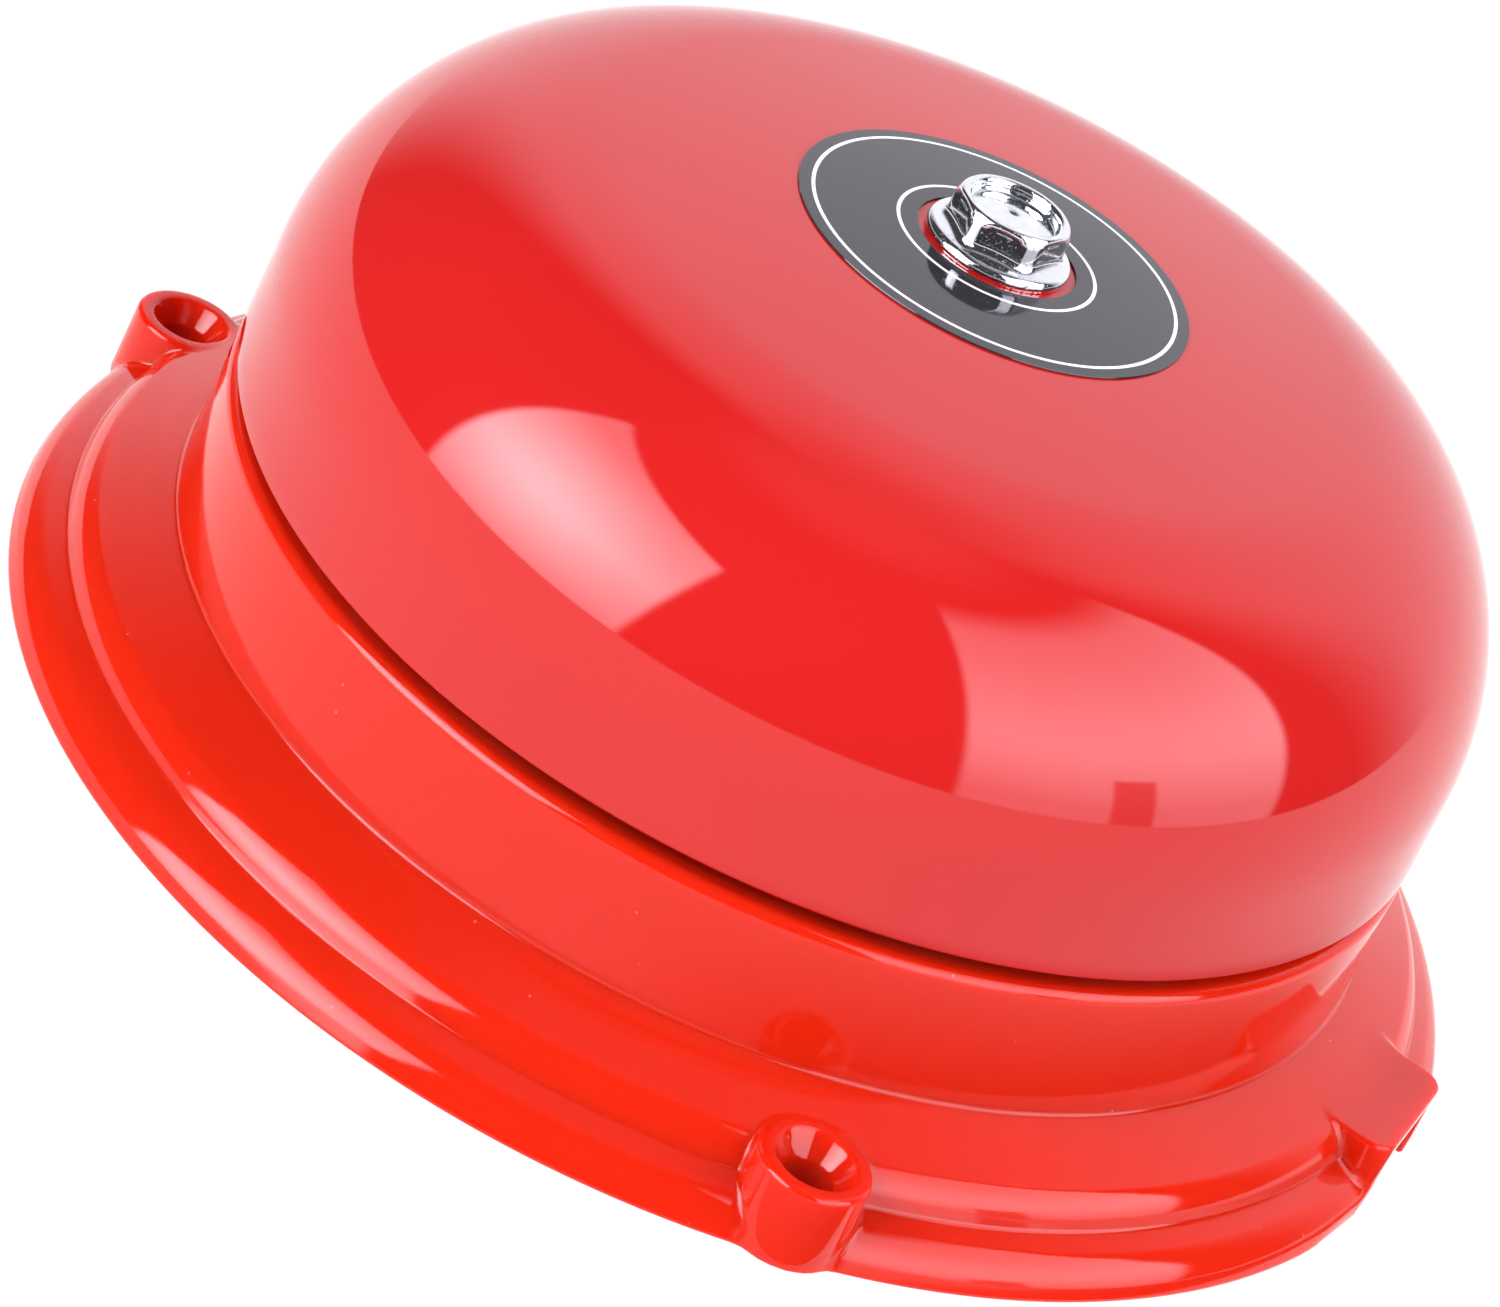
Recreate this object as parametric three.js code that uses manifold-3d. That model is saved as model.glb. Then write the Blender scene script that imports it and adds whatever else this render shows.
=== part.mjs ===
// Motor-driven fire alarm bell, 150 mm gong. Millimetres, +Z out of the wall along the bell's axis.
// The origin is the centre of the back face, and the cable-entry hood points along -Y.
import * as THREE from "three";
import { mergeVertices } from "three/addons/utils/BufferGeometryUtils.js";
import Module from "manifold-3d";

const wasm = await Module();
wasm.setup();

// ---- Driving dimensions ----
const ROUND = 48; // sides of the large round pieces
const SMALL_ROUND = 14; // sides of screws, pins and their holes

const GONG = {
  rim: 75,
  rimZ: 31.5,
  knee: { r: 42.82, z: 41.45, radius: 31.86, from: 1.8, to: 84.9 },
  crownR: 509,
  landR: 9,
  landZ: 75.16,
  wall: 1.8,
  holeR: 4.6,
};
const LABEL = { innerR: 9.8, outerR: 24, thickness: 0.2, lift: 0.05 };
const BOLT = {
  shankR: 3.9,
  length: 16,
  flangeR: 8.8,
  flangeH: 0.9,
  acrossFlats: 13,
  headHeight: 5.9,
  crestR: 6.3,
  dishR: 5.1,
  dishDepth: 1.6,
  turn: 15,
};
const WASHER = { innerR: 4.4, outerR: 9.5, thickness: 2 };
const POST = { radius: 8, flangeR: 17, flangeH: 3, screwCircle: 12.5, boreR: 4.2, boreDepth: 15 };

const BASE = { lipR: 91.7, deckZ: 29.4, wall: 2.4, neckR: 75 };
const EAR = {
  circle: 86.5,
  radius: 6.6,
  footR: 7,
  height: 10,
  mouthR: 4.75,
  holeR: 3,
  funnelDepth: 2.7,
  angles: [90, -30, -150],
};
const RIB = { innerR: 77.2, outerR: 79.2, top: 9.6 };
const HOOD = {
  halfWidth: 10.5,
  end: 90.5,
  start: 74,
  top: 9.5,
  corner: 3,
  tunnelHalf: 6.5,
  tunnelTop: 7,
  trim: { x: 22.5, y: 88.95 },
};
const PLATE = {
  radius: 87.6,
  thickness: 1.5,
  earGap: 8,
  screwCircle: 64,
  screwAngles: [35, 145, -135, -45],
};
const PILLAR = { radius: 4, boreR: 1.5, boreDepth: 13 };

const MOTOR = { y: 50, radius: 12.2, length: 21, wall: 1, screwSpread: 8.5, shaftR: 1, bearingR: 3 };
const ARM = { z: 34, thickness: 3, reach: 13, endR: 7.4, hubR: 4, hubH: 7 };
const HAMMER = { z: 37.3, thickness: 3.2, tailR: 3.5, tipR: 2.6, tip: 22.7, swing: 35 };
const PIN = { shankR: 1.2, headR: 2.4, headH: 1 };

const BOARD = { width: 52, depth: 30, y: -43, z: 16.2, thickness: 1.6, holeX: 22.5, spacerR: 3.2 };

const COLOURS = {
  gong: [0xd8161c, 0.25, 0.1],
  housing: [0xe8200f, 0.22, 0],
  label: [0x3a3a3e, 0.35, 0],
  zinc: [0xc9ced2, 0.25, 1],
  steel: [0x9aa0a5, 0.35, 1],
  fibre: [0x7a3f24, 0.7, 0],
  acetal: [0xe9e6dc, 0.45, 0],
  magnet: [0x35363a, 0.6, 0.2],
  brass: [0xc9a24b, 0.35, 1],
  copper: [0xb5673a, 0.4, 0.9],
  black: [0x1b1c1e, 0.5, 0],
  board: [0x1f6b3a, 0.5, 0],
  green: [0x2c8f4a, 0.5, 0],
  film: [0xb8262a, 0.5, 0],
  redWire: [0xc4161a, 0.5, 0],
  blackWire: [0x18191b, 0.5, 0],
};

// ---- Helpers ----
const bell = new THREE.Group();
const rad = THREE.MathUtils.degToRad;

// A closed geometry as a manifold-3d solid.
function solid(geometry) {
  const bare = geometry.clone();
  bare.deleteAttribute("normal");
  bare.deleteAttribute("uv");
  const merged = mergeVertices(bare, 1e-4);
  return new wasm.Manifold(
    new wasm.Mesh({
      numProp: 3,
      vertProperties: new Float32Array(merged.attributes.position.array),
      triVerts: new Uint32Array(merged.index.array),
    }),
  );
}

// A manifold-3d solid as a geometry.
function geometryOf(made) {
  const mesh = made.getMesh();
  const geometry = new THREE.BufferGeometry();
  geometry.setAttribute("position", new THREE.BufferAttribute(mesh.vertProperties, 3));
  geometry.setIndex(new THREE.BufferAttribute(mesh.triVerts, 1));
  const flat = geometry.toNonIndexed();
  flat.computeVertexNormals();
  return flat;
}

// Turns an outline of [radius, z] points, listed outwards and up, about the Z axis.
function turned(points, sides = SMALL_ROUND) {
  const outline = points.map(([r, z]) => new THREE.Vector2(r, z));
  return solid(new THREE.LatheGeometry(outline, sides).rotateX(Math.PI / 2).rotateZ(Math.PI / 2));
}

// A ring's outline closes on itself.
function turnedRing(points, sides = SMALL_ROUND) {
  return turned([...points, points[0]], sides);
}

function rod(radius, low, high, sides = SMALL_ROUND) {
  return turned([[0, low], [radius, low], [radius, high], [0, high]], sides);
}

function tube(innerR, outerR, low, high, sides = SMALL_ROUND) {
  return turnedRing([[innerR, low], [outerR, low], [outerR, high], [innerR, high]], sides);
}

function block(width, depth, height, x, y, lowZ) {
  return solid(new THREE.BoxGeometry(width, depth, height)).translate([x, y, lowZ + height / 2]);
}

// A flat outline extruded upwards from lowZ.
function slab(shape, thickness, lowZ, curveSegments = 6) {
  const settings = { depth: thickness, bevelEnabled: false, curveSegments };
  return solid(new THREE.ExtrudeGeometry(shape, settings)).translate([0, 0, lowZ]);
}

function polar(radius, degrees) {
  return [radius * Math.cos(rad(degrees)), radius * Math.sin(rad(degrees))];
}

function at(made, [x, y], z = 0) {
  return made.translate([x, y, z]);
}

function add(name, made, [colour, roughness, metalness], place = bell) {
  const material = new THREE.MeshStandardMaterial({ color: colour, roughness, metalness });
  const mesh = new THREE.Mesh(geometryOf(made), material);
  mesh.name = name;
  place.add(mesh);
  return mesh;
}

// Points of an arc in an outline, from one angle to another.
function arc(centreR, centreZ, radius, from, to, steps) {
  const points = [];
  for (let i = 0; i <= steps; i += 1) {
    const angle = rad(from + ((to - from) * i) / steps);
    points.push([centreR + radius * Math.cos(angle), centreZ + radius * Math.sin(angle)]);
  }
  return points;
}

// A countersunk screw driven up from z = 0.
function countersunk(headR, headH, shankR, length) {
  const slot = block(headR * 1.3, headR * 0.28, headH * 0.6, 0, 0, -0.05);
  const cross = slot.add(slot.rotate([0, 0, 90]));
  const body = turned([[0, 0], [headR, 0], [shankR, headH], [shankR, length - 1], [shankR * 0.4, length],
    [0, length]]);
  return body.subtract(cross);
}

// The hole of a countersunk screw through a sheet, a little larger than the screw.
function countersunkHole(headR, headH, shankR, through) {
  const gap = 0.15;
  return turned([
    [0, -0.5],
    [headR + gap, -0.5],
    [headR + gap, 0],
    [shankR + gap, headH],
    [shankR + gap, through + 0.5],
    [0, through + 0.5],
  ]);
}

// ---- Base moulding ----
// The lip and the ring inside it are both convex, with a corner between them. A cone leads from the ring
// up to the foot of the neck, which is nearly upright.
function baseOuter() {
  return turned(
    [
      [0, 0],
      [BASE.lipR, 0],
      ...arc(85.76, -0.8, 5.9, 24, 62, 4),
      [86.3, 5.5],
      ...arc(80.91, 4.76, 5.3, 18, 58, 4),
      [75.6, 12.8],
      [BASE.neckR, BASE.deckZ - 0.8],
      [BASE.neckR - 0.8, BASE.deckZ],
      [0, BASE.deckZ],
    ],
    ROUND,
  );
}

function baseHollow() {
  return turned(
    [
      [0, -1],
      [88.6, -1],
      [88.6, 1.2],
      [86.8, 2.7],
      [83.2, 2.9],
      [83, 5.6],
      [80.4, 7.6],
      [75.6, 10],
      [74.1, 11.5],
      [73.5, 15],
      [72.6, BASE.deckZ - BASE.wall],
      [0, BASE.deckZ - BASE.wall],
    ],
    ROUND,
  );
}

function hoodOutline() {
  const { halfWidth, end, start, corner } = HOOD;
  const shape = new THREE.Shape();
  shape.moveTo(-halfWidth, -start);
  shape.lineTo(-halfWidth, corner - end);
  shape.quadraticCurveTo(-halfWidth, -end, corner - halfWidth, -end);
  shape.lineTo(halfWidth - corner, -end);
  shape.quadraticCurveTo(halfWidth, -end, halfWidth, corner - end);
  shape.lineTo(halfWidth, -start);
  return shape;
}

// What is trimmed off the lip so that it ends flush with the hood's mouth and runs out on both sides.
function lipTrim() {
  const { halfWidth, end, trim } = HOOD;
  const clear = 0.05;
  const shape = new THREE.Shape();
  shape.moveTo(-halfWidth, -end - clear);
  shape.lineTo(-trim.x, -trim.y);
  shape.lineTo(-trim.x, -end - 5);
  shape.lineTo(trim.x, -end - 5);
  shape.lineTo(trim.x, -trim.y);
  shape.lineTo(halfWidth, -end - clear);
  return slab(shape, HOOD.top + 1, -1);
}

const deckUnder = BASE.deckZ - BASE.wall;
const ears = EAR.angles.map((angle) => polar(EAR.circle, angle));
const plateScrews = PLATE.screwAngles.map((angle) => polar(PLATE.screwCircle, angle));
const motorScrews = [-1, 1].map((side) => [side * MOTOR.screwSpread, MOTOR.y]);
const boardHoles = [-1, 1].map((side) => [side * BOARD.holeX, BOARD.y]);

function makeBase() {
  let base = baseOuter().subtract(baseHollow());
  for (const place of ears) {
    base = base.add(at(turned([[0, 0], [EAR.footR, 0], [EAR.radius, EAR.height - 0.4],
      [EAR.radius - 0.4, EAR.height], [0, EAR.height]], 24), place));
  }
  base = base.add(slab(hoodOutline(), HOOD.top, 0, 4)).subtract(lipTrim());
  base = base.add(tube(RIB.innerR, RIB.outerR, PLATE.thickness, RIB.top, ROUND));
  for (const place of plateScrews) {
    base = base.add(at(rod(PILLAR.radius, PLATE.thickness, deckUnder + 1), place));
  }
  for (const place of boardHoles) {
    base = base.add(at(rod(BOARD.spacerR, BOARD.z + BOARD.thickness, deckUnder + 1), place));
  }

  const tunnelLength = HOOD.end - 66;
  const tunnelY = -66 - tunnelLength / 2 - 1;
  base = base.subtract(block(2 * HOOD.tunnelHalf, tunnelLength + 2, HOOD.tunnelTop + 1, 0, tunnelY, -1));
  for (const place of ears) {
    base = base.subtract(at(turned([[0, -1], [EAR.holeR, -1], [EAR.holeR, EAR.height - EAR.funnelDepth],
      [EAR.mouthR, EAR.height], [EAR.mouthR, EAR.height + 1], [0, EAR.height + 1]], 20), place));
  }
  for (const place of plateScrews) {
    base = base.subtract(at(rod(PILLAR.boreR, 0, PILLAR.boreDepth), place));
  }
  for (const place of boardHoles) {
    base = base.subtract(at(rod(1.1, BOARD.z, BOARD.z + 8), place));
  }
  for (const place of motorScrews) {
    base = base.subtract(at(rod(1.4, deckUnder - 1, BASE.deckZ + 1), place));
  }
  base = base.subtract(at(rod(MOTOR.bearingR + 0.6, deckUnder - 1, BASE.deckZ + 1), [0, MOTOR.y]));
  return base.subtract(rod(POST.radius + 0.8, deckUnder - 1, BASE.deckZ + 1, 32));
}

// ---- Back plate, its screws and the gong post ----
const postScrews = [0, 120, 240].map((angle) => polar(POST.screwCircle, angle));
const PLATE_SCREW = { headR: 3, headH: 1.5, shankR: 1.35, length: 12 };
const POST_SCREW = { headR: 3.4, headH: 1.6, shankR: 1.9, length: 4.5 };

function makeBackPlate() {
  let plate = rod(PLATE.radius, 0, PLATE.thickness, ROUND);
  for (const place of ears) {
    plate = plate.subtract(at(rod(PLATE.earGap, -1, PLATE.thickness + 1, 24), place));
  }
  plate = plate.subtract(block(2 * HOOD.halfWidth + 1, 20, 4, 0, 0.5 - HOOD.start - 10, -1));
  for (const place of plateScrews) {
    const { headR, headH, shankR } = PLATE_SCREW;
    plate = plate.subtract(at(countersunkHole(headR, headH, shankR, PLATE.thickness), place));
  }
  for (const place of postScrews) {
    const { headR, headH, shankR } = POST_SCREW;
    plate = plate.subtract(at(countersunkHole(headR, headH, shankR, PLATE.thickness), place));
  }
  return plate;
}

function makePost() {
  const { radius, flangeR, flangeH, boreR, boreDepth } = POST;
  const low = PLATE.thickness;
  const top = postTop;
  let post = turned([
    [0, low],
    [flangeR, low],
    [flangeR, low + flangeH],
    [radius, low + flangeH],
    [radius, top - 0.6],
    [radius - 0.6, top],
    [0, top],
  ], 32);
  post = post.subtract(rod(boreR, top - boreDepth, top + 1));
  for (const place of postScrews) {
    post = post.subtract(at(rod(POST_SCREW.shankR + 0.2, 0, low + flangeH + 1), place));
  }
  return post;
}

// ---- Gong, its washer, label and bolt ----
const gongUnder = GONG.landZ - GONG.wall;
const postTop = gongUnder - WASHER.thickness;
const crownCentreZ = GONG.landZ - Math.sqrt(GONG.crownR ** 2 - GONG.landR ** 2);

function crownHeight(radius, drop = 0) {
  return crownCentreZ + Math.sqrt((GONG.crownR - drop) ** 2 - radius ** 2);
}

// The gong's outline from the rim up to the land round its hole, shrunk by inset.
function gongOutline(inset, steps) {
  const { r, z, radius, from, to } = GONG.knee;
  const points = [[GONG.rim - inset, GONG.rimZ], ...arc(r, z, radius - inset, from, to, steps)];
  for (const crownR of [36, 24]) {
    points.push([crownR, crownHeight(crownR, inset)]);
  }
  points.push([GONG.landR + 0.4, GONG.landZ - inset]);
  return points;
}

function makeGong() {
  const outer = gongOutline(0, 8);
  const inner = gongOutline(GONG.wall, 6).reverse();
  const hole = [[GONG.holeR, GONG.landZ], [GONG.holeR, gongUnder]];
  return turnedRing([...outer, ...hole, ...inner], ROUND);
}

function makeLabel() {
  const { innerR, outerR, thickness, lift } = LABEL;
  const low = crownHeight(outerR) + lift;
  const high = crownHeight(innerR) + lift;
  return turnedRing([[innerR, high], [outerR, low], [outerR, low + thickness], [innerR, high + thickness]],
    ROUND);
}

// The head is a hexagon with its top corners turned down to a raised ring round a shallow dish.
function makeBolt() {
  const { shankR, length, flangeR, flangeH, acrossFlats, headHeight } = BOLT;
  const { crestR, dishR, dishDepth, turn } = BOLT;
  const low = GONG.landZ;
  const top = low + headHeight;
  const cornerR = acrossFlats / Math.sqrt(3);
  const coneTop = low + 2.2;
  const hex = solid(new THREE.CylinderGeometry(cornerR, cornerR, headHeight, 6).rotateX(Math.PI / 2));
  const floor = top - dishDepth;
  const crown = turned([[0, low], [cornerR + 0.1, low], [cornerR + 0.1, top - 1.2], [crestR, top],
    [0, top]], 24);
  const dish = turned([[0, floor], [dishR, floor], [crestR - 0.4, top + 0.1], [0, top + 0.1]], 24);
  const flange = turned([[0, low], [flangeR, low], [flangeR, low + flangeH], [6.6, coneTop],
    [0, coneTop]], 32);
  const shank = turned([[0, low - length], [shankR - 0.8, low - length], [shankR, low - length + 0.8],
    [shankR, low + 1], [0, low + 1]]);
  const head = hex.rotate([0, 0, turn]).translate([0, 0, low + headHeight / 2]);
  return head.intersect(crown).subtract(dish).add(flange).add(shank);
}

// ---- Motor, in its own group with the shaft on local Z ----
const motorTop = deckUnder - 0.1;
const motorLow = motorTop - MOTOR.length;
const screwLength = 4;

function makeMotorCan() {
  const { radius, wall, bearingR } = MOTOR;
  let can = turnedRing([[radius, motorLow + 1.4], [radius, motorTop], [bearingR, motorTop],
    [bearingR, motorTop - wall], [radius - wall, motorTop - wall], [radius - wall, motorLow + 1.4]], 32);
  for (const side of [-1, 1]) {
    const hole = rod(1.1, motorTop - wall - 1, motorTop + 1, 12);
    can = can.subtract(hole.translate([side * MOTOR.screwSpread, 0, 0]));
  }
  return can;
}

function makeMagnet() {
  const gap = 0.15;
  const outerR = MOTOR.radius - MOTOR.wall - gap;
  const ring = tube(outerR - 2.4, outerR, motorLow + 4, motorTop - 3, 32);
  return ring.intersect(block(30, 12, 30, 0, 8.6, motorLow));
}

function makeArmature() {
  const core = tube(MOTOR.shaftR + 0.15, 7.6, motorLow + 5, motorTop - 4, 24);
  let armature = core;
  for (let pole = 0; pole < 3; pole += 1) {
    const slot = block(4, 1.6, 20, 6.6, 0, motorLow + 2).rotate([0, 0, 120 * pole]);
    armature = armature.subtract(slot);
  }
  return armature;
}

function makeMotorScrew() {
  const top = BASE.deckZ;
  const low = motorTop - screwLength + BASE.wall;
  const head = turned([[0, top], [2.1, top], [2.1, top + 0.7], [1.3, top + 1.4], [0, top + 1.4]]);
  const slot = block(3, 0.5, 0.8, 0, 0, top + 0.9);
  return rod(0.95, low, top + 0.2, 12).add(head).subtract(slot);
}

// ---- Striker arm, pins and hammers ----
function stadium(length, radius) {
  const shape = new THREE.Shape();
  shape.absarc(length, 0, radius, -Math.PI / 2, Math.PI / 2, false);
  shape.absarc(-length, 0, radius, Math.PI / 2, (3 * Math.PI) / 2, false);
  return shape;
}

const stopAngle = HAMMER.swing + THREE.MathUtils.radToDeg(Math.asin(4.3 / 6));

function makeArm() {
  const { z, thickness, reach, endR, hubR, hubH } = ARM;
  const waist = slab(stadium(reach, 3.6), thickness, z);
  let arm = waist.add(rod(hubR, z, z + hubH));
  for (const side of [-1, 1]) {
    arm = arm.add(rod(endR, z, z + thickness, 24).translate([side * reach, 0, 0]));
    for (const turn of [-stopAngle, stopAngle]) {
      const [x, y] = polar(6, turn);
      arm = arm.add(rod(1, z, z + 6.2, 10).translate([side * (reach + x), y, 0]));
    }
    arm = arm.subtract(rod(PIN.shankR + 0.1, z - 1, z + thickness + 1, 16).translate([side * reach, 0, 0]));
  }
  return arm.subtract(rod(MOTOR.shaftR + 0.15, z - 1, z + hubH + 1, 16));
}

function makePin() {
  const low = ARM.z + 0.2;
  const headZ = HAMMER.z + HAMMER.thickness + 0.3;
  return turned([[0, low], [PIN.shankR, low], [PIN.shankR, headZ], [PIN.headR, headZ],
    [PIN.headR, headZ + PIN.headH], [0, headZ + PIN.headH]], 16);
}

// The hammer's pivot is at its own origin, with its tip along +X.
function makeHammer() {
  const { tailR, tipR, tip, z, thickness } = HAMMER;
  const tipX = tip - ARM.reach - tipR;
  const shape = new THREE.Shape();
  shape.absarc(tipX, 0, tipR, -1.4, 1.4, false);
  shape.absarc(0, 0, tailR, 1.5, 2 * Math.PI - 1.5, false);
  return slab(shape, thickness, z, 8).subtract(rod(PIN.shankR + 0.15, z - 1, z + thickness + 1, 16));
}

// ---- Circuit board and what is on its underside ----
function makeBoard() {
  const { width, depth, y, z, thickness } = BOARD;
  let board = block(width, depth, thickness, 0, y, z);
  for (const place of boardHoles) {
    board = board.subtract(at(rod(1.5, z - 1, z + thickness + 1, 12), place));
  }
  return board;
}

const TERMINAL = { x: 0, y: -52, width: 15, depth: 9, height: 10, pitch: 7 };

function makeTerminalBlock() {
  const { x, y, width, depth, height, pitch } = TERMINAL;
  const low = BOARD.z - height;
  let body = block(width, depth, height, x, y, low);
  for (const side of [-1, 1]) {
    const centre = x + (side * pitch) / 2;
    body = body.subtract(rod(2.1, low - 1, low + 5, 16).translate([centre, y, 0]));
    body = body.subtract(block(3.6, 5, 3.6, centre, y - depth / 2 + 1, low + 5.4));
  }
  return body;
}

function makeTerminalScrew() {
  const low = BOARD.z - TERMINAL.height + 1.2;
  return rod(1.8, low, low + 3.6, 16).subtract(block(5, 0.5, 1.4, 0, 0, low - 0.6));
}

function makeBoardScrew() {
  const z = BOARD.z;
  const head = turned([[0, z - 1.6], [1.6, z - 1.6], [2.3, z - 0.8], [2.3, z], [0, z]]);
  return head.add(rod(0.9, z - 0.2, z + 7, 12)).subtract(block(5, 0.5, 1.2, 0, 0, z - 2.2));
}

// A round lead swept along a smooth curve.
function makeLead(points) {
  const path = new THREE.CatmullRomCurve3(points.map((point) => new THREE.Vector3(...point)));
  const section = new THREE.Shape();
  section.absarc(0, 0, 0.8, 0, 2 * Math.PI, false);
  return solid(new THREE.ExtrudeGeometry(section, { steps: 18, curveSegments: 4, extrudePath: path }));
}

// ---- The assembly ----
add("base", makeBase(), COLOURS.housing);
add("back_plate", makeBackPlate(), COLOURS.zinc);
plateScrews.forEach((place, i) => {
  const { headR, headH, shankR, length } = PLATE_SCREW;
  add(`back_plate_screw_${i + 1}`, at(countersunk(headR, headH, shankR, length), place), COLOURS.steel);
});
add("gong_post", makePost(), COLOURS.steel);
postScrews.forEach((place, i) => {
  const { headR, headH, shankR, length } = POST_SCREW;
  add(`post_screw_${i + 1}`, at(countersunk(headR, headH, shankR, length), place), COLOURS.steel);
});
add("gong_washer", tube(WASHER.innerR, WASHER.outerR, postTop, gongUnder, 32), COLOURS.fibre);
add("gong", makeGong(), COLOURS.gong);
add("gong_label", makeLabel(), COLOURS.label);
add("gong_bolt", makeBolt(), COLOURS.zinc);

const motor = new THREE.Group();
motor.position.set(0, MOTOR.y, 0);
bell.add(motor);
add("motor_can", makeMotorCan(), COLOURS.zinc, motor);
add("motor_end_cap", tube(1.6, MOTOR.radius, motorLow, motorLow + 1.3, 32), COLOURS.black, motor);
const bearing = tube(MOTOR.shaftR + 0.08, MOTOR.bearingR - 0.1, motorTop - 1.6, motorTop + 1.9);
add("motor_bearing", bearing, COLOURS.brass, motor);
add("motor_rear_bush", tube(MOTOR.shaftR + 0.08, 1.5, motorLow, motorLow + 2.4), COLOURS.brass, motor);
add("motor_magnet_1", makeMagnet(), COLOURS.magnet, motor);
add("motor_magnet_2", makeMagnet().rotate([0, 0, 180]), COLOURS.magnet, motor);
add("motor_armature", makeArmature(), COLOURS.copper, motor);
add("motor_shaft", rod(MOTOR.shaftR, motorLow + 0.6, ARM.z + ARM.hubH - 0.5, 16), COLOURS.steel, motor);
[-1, 1].forEach((side, i) => {
  const screw = makeMotorScrew().translate([side * MOTOR.screwSpread, 0, 0]);
  add(`motor_screw_${i + 1}`, screw, COLOURS.steel, motor);
});
add("striker_arm", makeArm(), COLOURS.acetal, motor);
[1, -1].forEach((side, i) => {
  const place = new THREE.Group();
  place.position.set(side * ARM.reach, 0, 0);
  place.rotation.z = side > 0 ? 0 : Math.PI;
  motor.add(place);
  add(`hammer_pin_${i + 1}`, makePin(), COLOURS.zinc, place);
  add(`hammer_${i + 1}`, makeHammer(), COLOURS.steel, place);
});

add("circuit_board", makeBoard(), COLOURS.board);
boardHoles.forEach((place, i) => add(`board_screw_${i + 1}`, at(makeBoardScrew(), place), COLOURS.steel));
add("terminal_block", makeTerminalBlock(), COLOURS.green);
[-1, 1].forEach((side, i) => {
  const place = [TERMINAL.x + (side * TERMINAL.pitch) / 2, TERMINAL.y];
  add(`terminal_screw_${i + 1}`, at(makeTerminalScrew(), place), COLOURS.brass);
});
add("suppression_capacitor", block(13, 5, 9, -12, -36, BOARD.z - 9), COLOURS.film);
const diode = solid(new THREE.CylinderGeometry(1.6, 1.6, 6, 16).rotateZ(Math.PI / 2));
add("protection_diode", diode.translate([10, -36, BOARD.z - 1.65]), COLOURS.black);
[-1, 1].forEach((side, i) => {
  const colour = side < 0 ? COLOURS.redWire : COLOURS.blackWire;
  const lead = makeLead([
    [side * 19, -31, BOARD.z - 0.85],
    [side * 21, -24, BOARD.z - 2],
    [side * 22, -8, 10],
    [side * 20, 14, 5],
    [side * 12, 32, 4],
    [side * 6, 42, 4.6],
    [side * 5, 47, motorLow - 0.9],
  ]);
  add(`motor_lead_${i + 1}`, lead, colour);
});

export default bell;
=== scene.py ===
"""Fire alarm bell: the looks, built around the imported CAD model.

Shapes are written in millimetres and become metres where a mesh is made. The materials' bump heights and
scattering depth, and the studio's own sheets, are in metres. +Z points out of the wall.
"""

import math

import bpy
import numpy as np
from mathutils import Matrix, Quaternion, Vector


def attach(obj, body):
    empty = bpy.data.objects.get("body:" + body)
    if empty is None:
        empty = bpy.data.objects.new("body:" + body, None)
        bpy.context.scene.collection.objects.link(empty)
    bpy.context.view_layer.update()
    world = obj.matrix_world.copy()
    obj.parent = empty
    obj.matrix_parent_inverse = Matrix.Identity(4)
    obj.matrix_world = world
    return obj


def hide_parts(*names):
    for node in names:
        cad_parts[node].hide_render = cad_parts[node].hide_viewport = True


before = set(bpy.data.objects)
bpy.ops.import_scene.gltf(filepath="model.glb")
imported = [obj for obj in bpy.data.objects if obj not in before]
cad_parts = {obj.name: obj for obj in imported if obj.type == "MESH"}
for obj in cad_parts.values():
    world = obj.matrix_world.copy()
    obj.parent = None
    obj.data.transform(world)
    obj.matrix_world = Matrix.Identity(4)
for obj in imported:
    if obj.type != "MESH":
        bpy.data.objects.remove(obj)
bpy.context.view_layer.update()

MM = 0.001

# ---- Driving sizes, in millimetres and degrees: the CAD's, and the roundings that only the look has ----
# The gong's crown is the radius of its shallow dome, which the knee joins to the wall.
GONG = {
    "rim": 75.0, "rim_z": 31.5, "wall": 1.8, "hole": 4.6, "land_r": 9.0, "land_z": 75.16, "crown": 509.0,
    "edge": 0.5, "lean": 0.34, "crown_start": 41.0,
}
KNEE = {"r": 42.82, "z": 41.45, "radius": 31.86, "low": 1.8, "high": 84.9}
LABEL = {
    "inner": 9.8, "outer": 24.0, "thickness": 0.2, "lift": 0.05, "rings": (22.3, 12.1), "ring_width": 0.44,
}
BOLT = {
    "shank": 3.9, "length": 16.0, "flange": 8.8, "flats": 13.0, "head": 5.9, "turn": 15.0,
    "crest": 6.3, "dish": 5.3, "dish_depth": 1.5, "dish_lean": 0.4, "corner": 1.5,
    "ring_bar": 0.55, "ring_drop": 0.62, "cone_r": 6.7, "cone_z": 2.0, "tip": 0.8,
}
BASE = {"lip": 91.7, "deck_z": 29.4, "wall": 2.4, "neck": 75.0}
# Arcs of the lip and of the ring above it: centre radius, centre z, radius, first and last angle.
LIP_ARC = (85.76, -0.8, 5.9, 24, 62)
RING_ARC = (80.91, 4.76, 5.3, 18, 58)
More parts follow.
